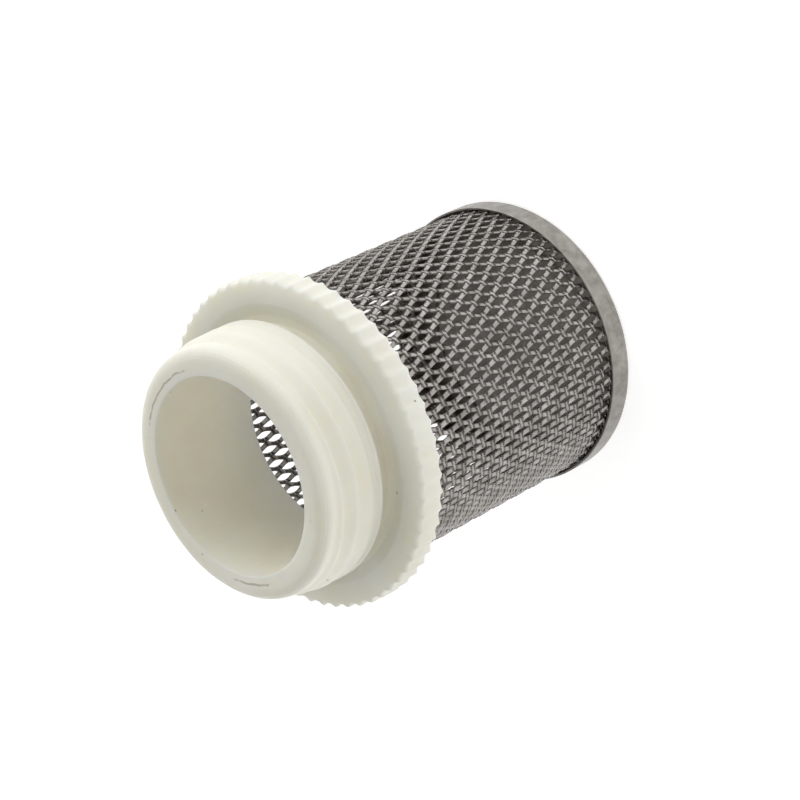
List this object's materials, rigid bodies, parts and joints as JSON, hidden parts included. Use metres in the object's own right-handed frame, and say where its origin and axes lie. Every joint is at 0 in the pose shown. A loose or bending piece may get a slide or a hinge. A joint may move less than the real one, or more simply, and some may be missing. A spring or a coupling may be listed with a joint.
{
  "type": "foot valve strainer basket",
  "caption": "Strainer basket for a foot valve: white threaded collar with a toothed flange, a round stainless mesh sleeve and a flat pressed end cap.",
  "frame": {"origin": "centre of the end cap's flat outer face, on the strainer's axis", "axes": "+Z along the strainer's axis from the end cap towards the threaded mouth; the sleeve's lapped seam faces halfway between +Y and -X"},
  "size_m": [0.0424, 0.0424, 0.0531],
  "materials": {
    "moulded_nylon": "natural off-white, slightly translucent, satin as moulded",
    "expanded_stainless": "rolled expanded sheet with bright raised strands",
    "pressed_stainless": "satin mill finish with faint press marks",
    "weld_steel": "small straw-tinted spot welds"
  },
  "bodies": {
    "root": {"threaded_collar": "moulded_nylon", "mesh_sleeve": "expanded_stainless", "seam_spot_welds": "weld_steel", "end_cap": "pressed_stainless"}
  },
  "joints": []
}
